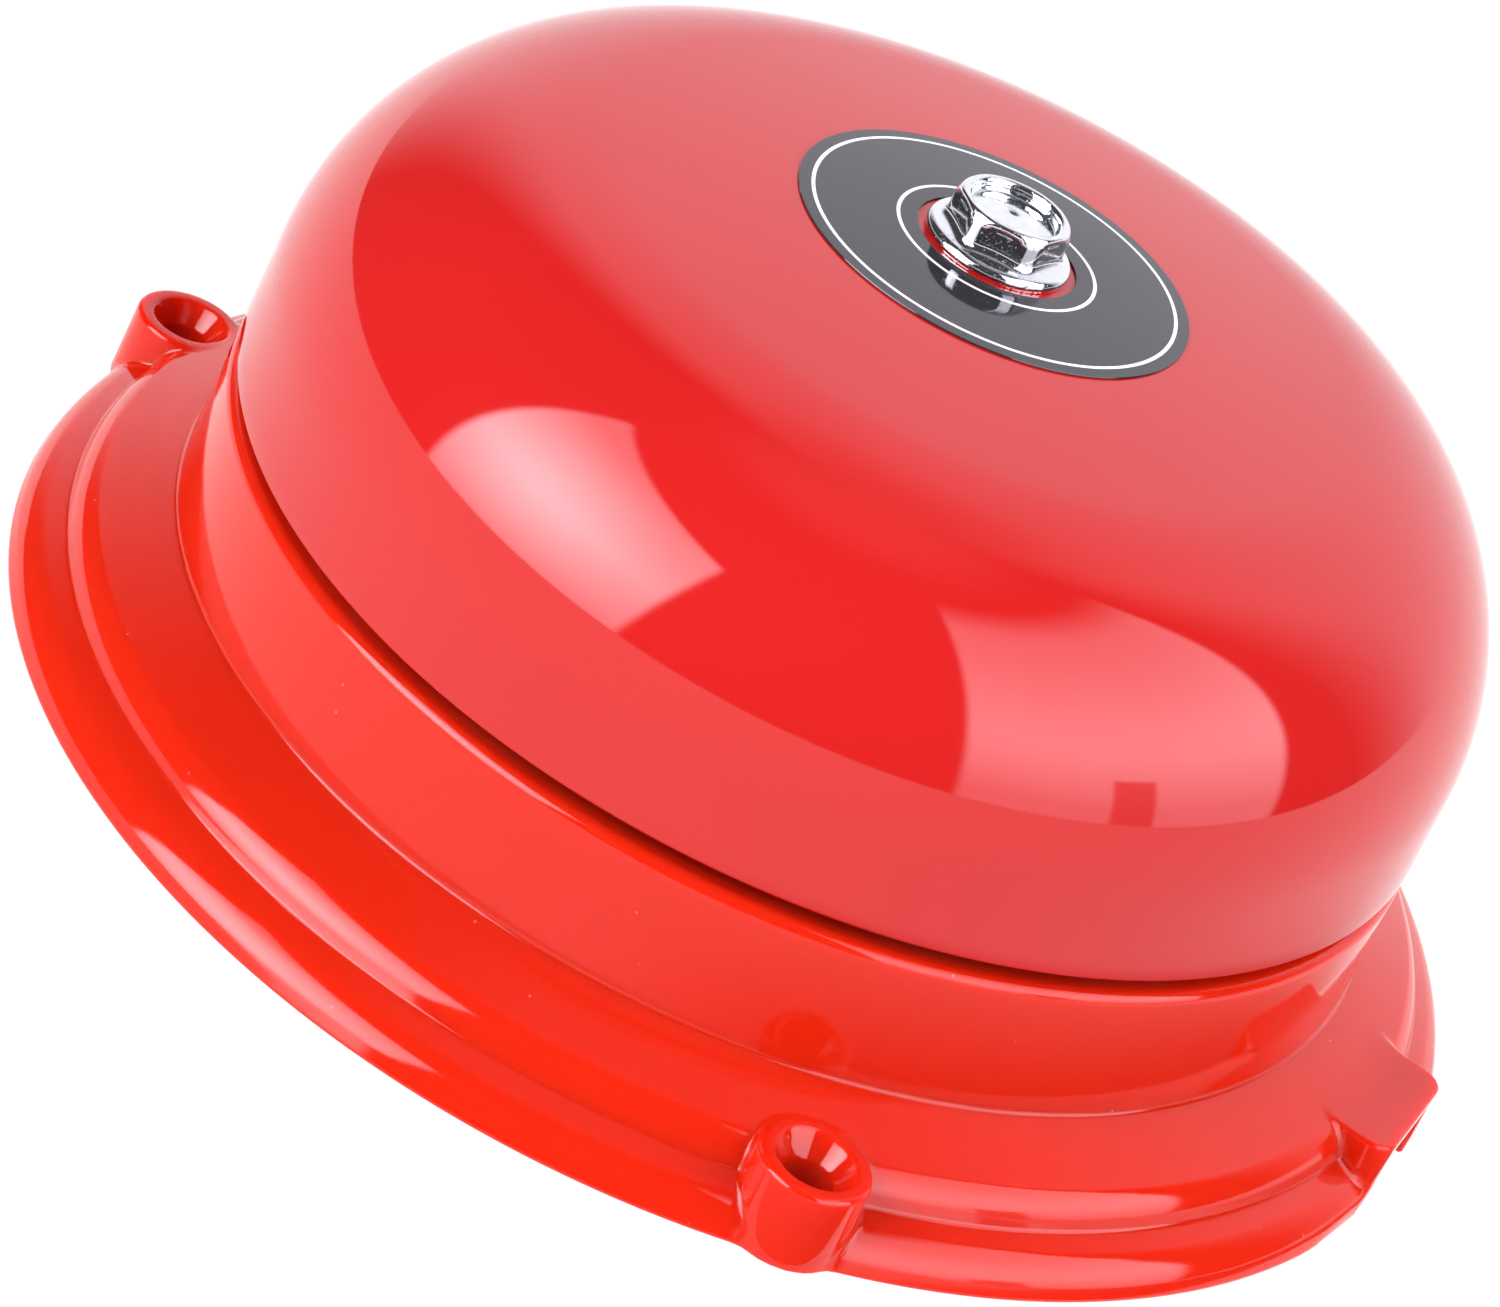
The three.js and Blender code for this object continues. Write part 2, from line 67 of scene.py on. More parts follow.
# Corners between the arcs and up to the deck: radius, z, rounding.
RING_FOOT = (86.3, 5.5, 0.5)
NECK_FOOT = (75.6, 12.8, 0.6)
DECK_ROUNDING = 1.4
EAR = {
    "circle": 86.5, "radius": 6.6, "foot": 7.0, "height": 10.0, "mouth": 4.75, "hole": 3.0, "funnel": 2.7,
    "angles": (90, -30, -150), "fillet": 0.8, "rim": 0.75, "bore_edge": 0.4,
}
HOOD = {
    "half": 10.5, "start": 74.0, "end": 90.5, "top": 9.5, "corner": 3.0, "edge": 0.5, "fillet": 1.2,
    "tunnel_half": 6.5, "tunnel_top": 7.0, "tunnel_mid": 81.0, "tunnel_reach": 14.0, "tunnel_edge": 0.4,
    "trim_x": 22.5, "trim_y": 88.95, "trim_edge": 0.3,
}
RIB = {"inner": 77.2, "outer": 79.2, "top": 9.6}
PILLAR = {"circle": 64.0, "angles": (35, 145, -135, -45), "radius": 4.0, "bore": 1.5, "bore_top": 13.0}
SPACER = {"x": 22.5, "y": -43.0, "low": 17.8, "radius": 3.2, "bore": 1.1, "bore_top": 24.2}
PLATE_TOP = 1.5
MOTOR = {"y": 50.0, "bearing_hole": 3.6, "screw_hole": 1.4, "screw_x": 8.5}
POST_HOLE = 8.8


# ---- Mesh helpers ----
def new_piece(name, points, faces, normals=None, sharp=None):
    """A smooth-shaded mesh object from points in millimetres."""
    mesh = bpy.data.meshes.new(name)
    mesh.from_pydata((np.asarray(points, float) * MM).tolist(), [], [list(map(int, f)) for f in faces])
    mesh.validate()
    mesh.polygons.foreach_set("use_smooth", [True] * len(mesh.polygons))
    if sharp is not None:
        mesh.set_sharp_from_angle(angle=math.radians(sharp))
    if normals is not None:
        mesh.normals_split_custom_set_from_vertices(normals.tolist())
    piece = bpy.data.objects.new(name, mesh)
    bpy.context.scene.collection.objects.link(piece)
    return piece


def rounded(corners, step=12.0):
    """A closed outline with each (x, z, radius) corner turned into an arc, one point every step degrees."""
    outline = []
    count = len(corners)
    for i, (x, z, radius) in enumerate(corners):
        corner = np.array([x, z], float)
        before = np.array(corners[i - 1][:2], float) - corner
        after = np.array(corners[(i + 1) % count][:2], float) - corner
        if radius <= 0:
            outline.append(corner)
            continue
        before_len = np.linalg.norm(before)
        after_len = np.linalg.norm(after)
        before /= before_len
        after /= after_len
        opening = math.acos(max(-1.0, min(1.0, float(before @ after))))
        turn = math.pi - opening
        if turn < 1e-3:
            outline.append(corner)
            continue
        reach = min(radius / math.tan(opening / 2), 0.49 * before_len, 0.49 * after_len)
        arc_r = reach * math.tan(opening / 2)
        bisector = (before + after) / np.linalg.norm(before + after)
        centre = corner + bisector * (arc_r / math.sin(opening / 2))
        start = corner + before * reach - centre
        side = 1.0 if before[0] * after[1] - before[1] * after[0] < 0 else -1.0
        steps = max(2, round(math.degrees(turn) / step))
        for k in range(steps + 1):
            angle = side * turn * k / steps
            c, s = math.cos(angle), math.sin(angle)
            outline.append(centre + np.array([c * start[0] - s * start[1], s * start[0] + c * start[1]]))
    return np.array(outline)


def arc(centre_r, centre_z, radius, low, high, steps):
    """Points of an arc in an outline, from one angle to another."""
    angles = [math.radians(low + (high - low) * k / steps) for k in range(steps + 1)]
    return [(centre_r + radius * math.cos(a), centre_z + radius * math.sin(a)) for a in angles]


def lathe(name, outline, sides=192, sharp=30.0):
    """Turns a closed outline of (radius, z) about the Z axis."""
    outline = np.asarray(outline, float)
    count = len(outline)
    turns = 2 * math.pi * np.arange(sides) / sides
    points = []
    for radius, z in outline:
        points.append(np.stack([radius * np.cos(turns), radius * np.sin(turns), np.full(sides, z)], 1))
    points = np.concatenate(points)
    area = 0.5 * sum(
        outline[i - 1][0] * outline[i][1] - outline[i][0] * outline[i - 1][1] for i in range(count)
    )
    faces = []
    for i in range(count):
        low = i * sides
        high = ((i + 1) % count) * sides
        for k in range(sides):
            n = (k + 1) % sides
            quad = [low + k, low + n, high + n, high + k]
            faces.append(quad if area > 0 else quad[::-1])
    return new_piece(name, points, faces, sharp=sharp)


# ---- Distance fields: negative inside, millimetres ----
class Outline:
    """A closed outline as a table of signed distances, read between its points."""

    def __init__(self, outline, step=0.1, margin=4.0):
        low = outline.min(0) - margin
        high = outline.max(0) + margin
        self.low = low
        self.step = step
        xs = np.arange(low[0], high[0] + step, step)
        zs = np.arange(low[1], high[1] + step, step)
        x, z = np.meshgrid(xs, zs, indexing="ij")
        nearest = np.full(x.shape, np.inf)
        inside = np.zeros(x.shape, bool)
        for (ax, az), (bx, bz) in zip(outline, np.roll(outline, -1, 0)):
            ex, ez = bx - ax, bz - az
            length2 = ex * ex + ez * ez
            if length2 < 1e-12:
                continue
            t = np.clip(((x - ax) * ex + (z - az) * ez) / length2, 0, 1)
            nearest = np.minimum(nearest, (x - ax - t * ex) ** 2 + (z - az - t * ez) ** 2)
            if az != bz:
                crosses = ((az > z) != (bz > z)) & (x < ax + (z - az) * ex / ez)
                inside ^= crosses
        self.table = np.where(inside, -1, 1) * np.sqrt(nearest)

    def __call__(self, x, z):
        u = (x - self.low[0]) / self.step
        v = (z - self.low[1]) / self.step
        rows, cols = self.table.shape
        uc = np.clip(u, 0, rows - 1.001)
        vc = np.clip(v, 0, cols - 1.001)
        i = uc.astype(int)
        j = vc.astype(int)
        fu = uc - i
        fv = vc - j
        t = self.table
        value = (t[i, j] * (1 - fu) + t[i + 1, j] * fu) * (1 - fv) + (
            t[i, j + 1] * (1 - fu) + t[i + 1, j + 1] * fu
        ) * fv
        return value + self.step * np.hypot(u - uc, v - vc)


def join(a, b, blend=0.0):
    """The union of two fields, with a fillet about as large as blend."""
    if blend <= 0:
        return np.minimum(a, b)
    h = np.maximum(blend - np.abs(a - b), 0) / blend
    return np.minimum(a, b) - h * h * blend / 4


def meet(a, b, blend=0.0):
    """The shared space of two fields, with its edge rounded about as much as blend."""
    return -join(-a, -b, blend)


def cut(a, b, blend=0.0):
    """Field a without field b, with the edge rounded about as much as blend."""
    return -join(-a, b, blend)


def surface_of(name, field, lines, place, wrap=False):
    """A closed mesh of the field's zero surface, on the cells between three lists of grid lines.

    place turns the three grid coordinates into x, y, z. With wrap the first coordinate closes on itself.
    """
    u, v, w = np.meshgrid(*lines, indexing="ij")
    x, y, z = place(u, v, w)
    value = field(x, y, z)
    if wrap:
        x, y, z, value = (np.concatenate([a, a[:1]]) for a in (x, y, z, value))
    inside = value < 0
    shape = tuple(n - 1 for n in value.shape)
    total = np.zeros(shape + (3,))
    hits = np.zeros(shape)
    corners = [(0, 0, 0), (1, 0, 0), (0, 1, 0), (1, 1, 0), (0, 0, 1), (1, 0, 1), (0, 1, 1), (1, 1, 1)]
    position = np.stack([x, y, z], -1)

    def corner(a, c):
        return a[c[0]:c[0] + shape[0], c[1]:c[1] + shape[1], c[2]:c[2] + shape[2]]

    for i, a in enumerate(corners):
        for b in corners[i + 1:]:
            if sum(abs(p - q) for p, q in zip(a, b)) != 1:
                continue
            va, vb = corner(value, a), corner(value, b)
            crossing = (va < 0) != (vb < 0)
            t = np.where(crossing, va / np.where(crossing, va - vb, 1), 0)[..., None]
            spot = corner(position, a) * (1 - t) + corner(position, b) * t
            total += np.where(crossing[..., None], spot, 0)
            hits += crossing
    used = hits > 0
    number = np.full(shape, -1)
    number[used] = np.arange(used.sum())
    points = total[used] / hits[used][:, None]

    faces = []
    for axis in range(3):
        low = [slice(None)] * 3
        high = [slice(None)] * 3
        low[axis] = slice(0, -1)
        high[axis] = slice(1, None)
        crossing = inside[tuple(low)] != inside[tuple(high)]
        starts_inside = inside[tuple(low)]
        b, c = [(1, 2), (2, 0), (0, 1)][axis]
        index = np.argwhere(crossing)
        keep = np.ones(len(index), bool)
        for other in (b, c):
            if wrap and other == 0:
                keep &= index[:, other] < shape[other]
            else:
                keep &= (index[:, other] > 0) & (index[:, other] < shape[other])
        if wrap and axis == 0:
            keep &= index[:, 0] < shape[0]
        index = index[keep]
        quad = []
        for db, dc in ((-1, -1), (0, -1), (0, 0), (-1, 0)):
            cell = index.copy()
            cell[:, b] += db
            cell[:, c] += dc
            cell[:, 0] %= shape[0]
            quad.append(number[tuple(cell.T)])
        quad = np.stack(quad, 1)
        out = starts_inside[tuple(index.T)]
        quad[~out] = quad[~out][:, ::-1]
        faces.append(quad)
    faces = np.concatenate(faces)

    # Slide the points onto the surface, at most 0.25 mm at a time.
    step = 0.02
    for _ in range(3):
        slope = gradient(field, points, step)
        size2 = np.maximum((slope * slope).sum(1), 0.05)
        move = -(field(*points.T) / size2)[:, None] * slope
        length = np.linalg.norm(move, axis=1, keepdims=True)
        points += move * np.minimum(1, 0.25 / np.maximum(length, 1e-9))
    normals = gradient(field, points, step)
    normals /= np.maximum(np.linalg.norm(normals, axis=1, keepdims=True), 1e-9)
    facing = np.cross(points[faces[:, 2]] - points[faces[:, 0]], points[faces[:, 3]] - points[faces[:, 1]])
    if (facing * normals[faces[:, 0]]).sum() < 0:
        faces = faces[:, ::-1]
    return new_piece(name, points, faces, normals=normals)


def gradient(field, points, step):
    """The field's slope at each point, by central differences."""
    slopes = []
    for axis in range(3):
        shift = np.zeros(3)
        shift[axis] = step
        slopes.append((field(*(points + shift).T) - field(*(points - shift).T)) / (2 * step))
    return np.stack(slopes, 1)


def spaced(*stretches):
    """Grid lines from (start, end, spacing) stretches that follow each other."""
    lines = []
    for start, end, spacing in stretches:
        count = max(1, round((end - start) / spacing))
        lines.extend(start + (end - start) * k / count for k in range(count))
    lines.append(stretches[-1][1])
    return np.array(lines)


# ---- The base moulding ----
def base_outline():
    """The moulding's outer shape: lip, ring, cone, neck and deck. The middle is left solid for now."""
    deck = BASE["deck_z"]
    lip_side = [(r, z, 0) for r, z in arc(*LIP_ARC, 12)]
    ring_side = [(r, z, 0) for r, z in arc(*RING_ARC, 12)]
    return rounded([
        (0, 0, 0), (BASE["lip"], 0, 0.2), *lip_side, RING_FOOT, *ring_side, NECK_FOOT,
        (BASE["neck"], deck, DECK_ROUNDING), (0, deck, 0),
    ], step=6)


def base_hollow_outline():
    """The space inside, from its open back up to the deck, as (radius, z, rounding) corners."""
    deck_under = BASE["deck_z"] - BASE["wall"]
    return rounded([
        (0, -3, 0), (88.6, -3, 0), (88.6, 1.2, 1), (86.8, 2.7, 1), (83.2, 2.9, 0.6), (83.0, 5.6, 1.2),
        (80.4, 7.6, 2), (75.6, 10, 2), (74.1, 11.5, 2), (73.5, 15, 3), (72.6, deck_under, 1.2),
        (0, deck_under, 0),
    ], step=10)


def ear_outlines():
    """The ear's boss and its screw hole with the funnel, both as half-widths over the height."""
    foot, radius, height = EAR["foot"], EAR["radius"], EAR["height"]
    below, above = -4, height + 4
    foot_below = foot + 0.17
    boss = rounded([
        (-foot, below, 0), (foot_below, below, 0), (radius, height, EAR["rim"]), (-radius, height, 0),
    ], step=10)
    hole, mouth = EAR["hole"], EAR["mouth"]
    bore = rounded([
        (-hole, below - 1, 0), (hole, below - 1, 0), (hole, height - EAR["funnel"], 0.5),
        (mouth, height, 0), (mouth + 2, above, 0), (-mouth, above, 0),
    ], step=10)
    return Outline(boss, 0.05), Outline(bore, 0.05)


def upright(x, y, cx, cy, radius):
    """The field of an endless upright cylinder."""
    return np.hypot(x - cx, y - cy) - radius


def between(z, low, high):
    """The field of the slab between two heights."""
    return np.maximum(low - z, z - high)


def on_circle(radius, degrees):
    """The x and y of a point on a circle round the axis."""
    angle = math.radians(degrees)
    return radius * math.cos(angle), radius * math.sin(angle)


def hood_block(x, y, z):
    """The hood: a bar along -Y with rounded far corners and rounded edges."""
    half, end, corner, edge = HOOD["half"], HOOD["end"], HOOD["corner"], HOOD["edge"]
    side = np.abs(x) - (half - corner)
    far = -y - (end - corner)
    plan = np.hypot(np.maximum(side, 0), np.maximum(far, 0)) + np.minimum(np.maximum(side, far), 0) - corner
    up = np.maximum(z - HOOD["top"], -2 - z)
    a, b = plan + edge, up + edge
    bar = np.hypot(np.maximum(a, 0), np.maximum(b, 0)) + np.minimum(np.maximum(a, b), 0) - edge
    return np.maximum(np.maximum(bar, -z), HOOD["start"] + y)


def lip_trim(x, y):
    """What the lip loses so that it ends flush with the hood's mouth and runs out on both sides."""
    slope = (HOOD["end"] - HOOD["trim_y"]) / (HOOD["trim_x"] - HOOD["half"])
    face = slope * np.maximum(np.abs(x) - HOOD["half"], 0) - HOOD["end"]
    return (y - face) / math.hypot(1, slope)


def base_field():
    """The whole moulding: shell, ears, hood, rib on the back plate, pillars and spacers, less every hole."""
    outer_shape = Outline(base_outline())
    hollow_shape = Outline(base_hollow_outline())
    boss_shape, bore_shape = ear_outlines()
    ears = [on_circle(EAR["circle"], a) for a in EAR["angles"]]
    pillars = [on_circle(PILLAR["circle"], a) for a in PILLAR["angles"]]
    spacers = [(side * SPACER["x"], SPACER["y"]) for side in (-1, 1)]
    motor_screws = [(side * MOTOR["screw_x"], MOTOR["y"]) for side in (-1, 1)]
    in_deck = BASE["deck_z"] - 1
    rib_mid = (RIB["inner"] + RIB["outer"]) / 2
    rib_half = 1

    def field(x, y, z):
        r = np.hypot(x, y)
        body = cut(outer_shape(r, z), hollow_shape(r, z))
        for cx, cy in ears:
            boss = np.maximum(boss_shape(upright(x, y, cx, cy, 0), z), -z)
            body = join(body, boss, EAR["fillet"])
        body = join(body, hood_block(x, y, z), HOOD["fillet"])
        body = cut(body, lip_trim(x, y), HOOD["trim_edge"])
        rib = np.maximum(np.abs(r - rib_mid) - rib_half, between(z, PLATE_TOP, RIB["top"]))
        body = join(body, rib)
        for kind, places, low in ((PILLAR, pillars, PLATE_TOP), (SPACER, spacers, SPACER["low"])):
            for cx, cy in places:
                peg = np.maximum(upright(x, y, cx, cy, kind["radius"]), between(z, low, in_deck))
                body = join(body, peg)
        tunnel = np.maximum(np.abs(x) - HOOD["tunnel_half"], z - HOOD["tunnel_top"])
        tunnel = np.maximum(tunnel, np.abs(y + HOOD["tunnel_mid"]) - HOOD["tunnel_reach"])
        body = cut(body, tunnel, HOOD["tunnel_edge"])
        for cx, cy in ears:
            body = cut(body, bore_shape(upright(x, y, cx, cy, 0), z), EAR["bore_edge"])
        for kind, places in ((PILLAR, pillars), (SPACER, spacers)):
            for cx, cy in places:
                body = cut(body, np.maximum(upright(x, y, cx, cy, kind["bore"]), z - kind["bore_top"]))
        for cx, cy in motor_screws:
            body = cut(body, upright(x, y, cx, cy, MOTOR["screw_hole"]))
        body = cut(body, upright(x, y, 0, MOTOR["y"], MOTOR["bearing_hole"]))
        return np.maximum(np.maximum(body, POST_HOLE - r), -z)

    return field


def base_lines():
    """Grid lines for the base: fine where the ears, the hood, the pillars and the ring are."""
    fine, medium, coarse = 0.4, 0.6, 1.5
    sectors = [(angle, 12.0, fine) for angle in (*EAR["angles"], -90)]
    sectors += [(angle, 5.0, medium) for angle in PILLAR["angles"]]
    for side in (-1, 1):
        sectors.append((math.degrees(math.atan2(SPACER["y"], side * SPACER["x"])), 5.5, medium))
    turns = []
    angle = 0.0
    while angle < 360 - fine / 2:
        turns.append(angle)
        here = [
            spacing for centre, half, spacing in sectors
            if abs((angle - centre + 180) % 360 - 180) <= half
        ]
        angle += min([coarse, *here])
    radii = spaced(
        (POST_HOLE - 1.1, 10, 0.55), (10, 44, 4), (44, 56, 0.6), (56, 59, 1.5), (59, 69, 0.65), (69, 72, 1),
        (72, 94.5, 0.38),
    )
    heights = spaced((-0.55, 15.6, 0.38), (15.6, 25.2, 1.2), (25.2, 30.2, 0.35))
    return np.radians(turns), radii, heights


def make_base():
    def place(turn, radius, z):
        return radius * np.cos(turn), radius * np.sin(turn), z

    return surface_of("base_moulding", base_field(), base_lines(), place, wrap=True)


# ---- The gong ----
def crown_height(radius, drop=0.0):
    """The shallow dome's height at a radius, for its outside or drop below it."""
    centre = GONG["land_z"] - math.sqrt(GONG["crown"] ** 2 - GONG["land_r"] ** 2)
    return centre + math.sqrt((GONG["crown"] - drop) ** 2 - radius**2)


def gong_side(inset, steps):
    """The gong's outline from the wall's top over the knee to its land, shrunk by inset."""
    points = arc(KNEE["r"], KNEE["z"], KNEE["radius"] - inset, KNEE["low"], KNEE["high"], steps)
    for radius in np.linspace(GONG["crown_start"], GONG["land_r"] + 0.6, 14):
        points.append((radius, crown_height(radius, inset)))
    return points


def make_gong():
    rim, low, wall, edge = GONG["rim"], GONG["rim_z"], GONG["wall"], GONG["edge"]
    outer = gong_side(0.0, 60)
    inner = gong_side(wall, 40)[::-1]
    rim_arc = arc(rim - edge, low + edge, edge, -90, 0, 6)
    inner_arc = arc(rim - wall + edge, low + edge, edge, 180, 270, 6)
    land = GONG["land_z"]
    hole = [(GONG["hole"] + 0.3, land), (GONG["hole"], land - 0.3), (GONG["hole"], land - wall)]
    straight = [(rim - GONG["lean"] * k / 5, low + (outer[0][1] - low) * k / 5) for k in range(1, 5)]
    return lathe("gong_shell", rim_arc + straight + outer + hole + inner + inner_arc, sides=256, sharp=40)


# ---- The label ----
def make_label():
    inner, outer = LABEL["inner"], LABEL["outer"]
    lift, thickness = LABEL["lift"], LABEL["thickness"]
    top = []
    under = []
    for radius in np.linspace(inner, outer, 12):
        height = crown_height(radius)
        top.append((radius, height + lift + thickness))
        under.append((radius, height + lift))
    ring = under + [(outer + lift, under[-1][1] + thickness / 2)] + top[::-1]
    return lathe("label_disc", ring, sides=192, sharp=40)


# ---- The gong bolt ----
def bolt_field():
    """A hexagon turned down at its corners to a raised ring round a dish, over a flange and a shank."""
    low = GONG["land_z"]
    top = low + BOLT["head"]
    tip_z = low - BOLT["length"]
    half = BOLT["flats"] / 2
    sides = [math.radians(BOLT["turn"] + 60 * k) for k in range(3)]
    crest, dish, shank_r = BOLT["crest"], BOLT["dish"], BOLT["shank"]
    shoulder = math.radians(45)
    cone_in, cone_up = 0.34, 0.94
    chamfer = 0.707

    def field(x, y, z):
        r = np.hypot(x, y)
        hexagon = np.full(x.shape, -1e3)
        for angle in sides:
            across = np.abs(x * math.cos(angle) + y * math.sin(angle)) - half
            hexagon = meet(hexagon, across, BOLT["corner"])
        ring = np.hypot(r - (crest - 0.2), z - (top - BOLT["ring_drop"])) - BOLT["ring_bar"]
        slope = (r - crest - 0.2) * math.sin(shoulder) + (z - top + 0.25) * math.cos(shoulder)
        body = meet(meet(hexagon, slope, 0.5), z - top + 0.12, 0.3)
        wall = (r - dish) - (z - top + BOLT["dish_depth"]) * BOLT["dish_lean"]
        bowl = meet(wall, top - BOLT["dish_depth"] - z, 0.15)
        body = join(cut(body, bowl, 0.35), meet(ring, hexagon, 0.2), 0.25)
        cone = (r - BOLT["cone_r"]) * cone_in + (z - low - BOLT["cone_z"]) * cone_up
        flange = meet(meet(r - BOLT["flange"], cone, 0.7), low - z)
        body = join(meet(body, low - z), flange, 0.8)
        tip = (r - shank_r + BOLT["tip"]) * chamfer - (z - tip_z) * chamfer
        shank = meet(meet(r - shank_r, z - low - 1), meet(tip_z - z, tip))
        return join(body, shank)

    return field


def make_bolt():
    low = GONG["land_z"]
    fine, coarse = 0.22, 0.6
    under = low - 0.9
    side = spaced((-9.35, 9.35, fine))
    heights = spaced((low - BOLT["length"] - coarse, under, coarse), (under, low + BOLT["head"] + 0.5, fine))
    lines = (side, side + 0.01, heights)
    return surface_of("hex_flange_bolt", bolt_field(), lines, lambda x, y, z: (x, y, z))


# ---- Materials ----
class Nodes:
    """Shorthand for building a node tree."""

    def __init__(self, tree):
        self.tree = tree

    def new(self, kind, **settings):
        node = self.tree.nodes.new(kind)
        for name, value in settings.items():
            setattr(node, name, value)
        return node

    def link(self, source, target):
        self.tree.links.new(source, target)

    def math(self, operation, *inputs, clamp=False):
        node = self.new("ShaderNodeMath", operation=operation, use_clamp=clamp)
        for socket, value in zip(node.inputs, inputs):
            self.fill(socket, value)
        return node.outputs[0]

    def fill(self, socket, value):
        if isinstance(value, bpy.types.NodeSocket):
            self.link(value, socket)
        else:
            socket.default_value = value

    def step(self, value, low, high, smooth=True, to_low=0.0, to_high=1.0):
        """Goes from to_low to to_high as value goes from low to high."""
        node = self.new("ShaderNodeMapRange", interpolation_type="SMOOTHSTEP" if smooth else "LINEAR")
        for socket, number in zip(node.inputs[:5], (value, low, high, to_low, to_high)):
            self.fill(socket, number)
        return node.outputs[0]

    def product(self, first, second):
        return self.math("MULTIPLY", first, second)

    def rest_of(self, value):
        """1 - value."""
        return self.math("SUBTRACT", 1.0, value)

    def noise(self, vector, scale, detail=2.0, roughness=0.5):
        node = self.new("ShaderNodeTexNoise")
        self.fill(node.inputs["Vector"], vector)
        node.inputs["Scale"].default_value = scale
        node.inputs["Detail"].default_value = detail
        node.inputs["Roughness"].default_value = roughness
        return node.outputs["Fac"]

    def specks(self, vector, scale, size, rarity):
        """Sparse round specks: 1 inside a speck, 0 elsewhere. size is a share of a cell."""
        cells = self.new("ShaderNodeTexVoronoi")
        self.fill(cells.inputs["Vector"], vector)
        cells.inputs["Scale"].default_value = scale
        near = self.step(cells.outputs["Distance"], size * 0.6, size * 1.4, True, 1.0, 0.0)
        tint = self.new("ShaderNodeSeparateColor")
        self.link(cells.outputs["Color"], tint.inputs[0])
        return self.math("MULTIPLY", near, self.math("GREATER_THAN", tint.outputs[0], rarity))

    def mix(self, factor, first, second):
        node = self.new("ShaderNodeMix", data_type="RGBA")
        self.fill(node.inputs["Factor"], factor)
        self.fill(node.inputs[6], first)
        self.fill(node.inputs[7], second)
        return node.outputs[2]

    def bump(self, height, distance, strength=1.0, normal=None):
        node = self.new("ShaderNodeBump")
        node.inputs["Strength"].default_value = strength
        node.inputs["Distance"].default_value = distance
        self.link(height, node.inputs["Height"])
        if normal is not None:
            self.link(normal, node.inputs["Normal"])
        return node.outputs["Normal"]


def new_material(name, colour, roughness, metallic=0.0, ior=1.5):
    """A material with its Principled shader, ready for more nodes."""
    material = bpy.data.materials.new(name)
    material.use_nodes = True
    tree = material.node_tree
    shader = tree.nodes["Principled BSDF"]
    shader.inputs["Base Color"].default_value = (*colour, 1)
    shader.inputs["Roughness"].default_value = roughness
    shader.inputs["Metallic"].default_value = metallic
    shader.inputs["IOR"].default_value = ior
    nodes = Nodes(tree)
    place = nodes.new("ShaderNodeTexCoord").outputs["Object"]
    return material, nodes, shader, place


def grained(name, colour, roughness, metallic=0.0, grain=900.0, depth=0.00002, spread=0.08, shade=0.12):
    """A material whose colour, roughness and surface vary with fine noise."""
    material, nodes, shader, place = new_material(name, colour, roughness, metallic)
    coarse = nodes.noise(place, grain / 6, 3)
    fine = nodes.noise(place, grain, 2)
    dark = tuple(c * (1 - shade) for c in colour)
    light = tuple(min(1, c * (1 + shade)) for c in colour)
    nodes.link(nodes.mix(coarse, (*dark, 1), (*light, 1)), shader.inputs["Base Color"])
    rough = nodes.step(fine, 0.3, 0.7, False, max(0.02, roughness - spread), roughness + spread)
    nodes.link(rough, shader.inputs["Roughness"])
    nodes.link(nodes.bump(fine, depth), shader.inputs["Normal"])
    return material


def red_enamel():
    """Sprayed gloss enamel: a slight cloud in its colour, a long wave and a fine peel in its surface."""
    dark, light = (0.40, 0.0088, 0.0079, 1), (0.42, 0.0102, 0.0091, 1)
    material, nodes, shader, place = new_material("red_enamel", (0.41, 0.0095, 0.0085), 0.045)
    broad = nodes.noise(place, 45, 1)
    nodes.link(nodes.mix(broad, dark, light), shader.inputs["Base Color"])
    peel = nodes.noise(place, 260, 1)
    wave = nodes.noise(place, 30, 1)
    surface = nodes.bump(wave, 0.00003)
    nodes.link(nodes.bump(peel, 0.0000012, normal=surface), shader.inputs["Normal"])
    return material


def red_abs():
    """Gloss moulded plastic that glows a little inside, with a few dust specks."""
    dark, light, dust = (0.48, 0.0115, 0.0023, 1), (0.50, 0.0135, 0.0029, 1), (0.62, 0.12, 0.09, 1)
    material, nodes, shader, place = new_material("red_abs", (0.49, 0.0125, 0.0026), 0.07, ior=1.43)
    shader.inputs["Subsurface Weight"].default_value = 0.7
    shader.inputs["Subsurface Radius"].default_value = (1.0, 0.12, 0.05)
    shader.inputs["Subsurface Scale"].default_value = 0.006
    broad = nodes.noise(place, 60, 2)
    speck = nodes.specks(place, 300, 0.05, 0.8)
    nodes.link(nodes.mix(speck, nodes.mix(broad, dark, light), dust), shader.inputs["Base Color"])
    wave = nodes.noise(place, 55, 2)
    fine = nodes.noise(place, 900, 2)
    surface = nodes.bump(wave, 0.00006)
    nodes.link(nodes.bump(fine, 0.0000015, normal=surface), shader.inputs["Normal"])
    return material


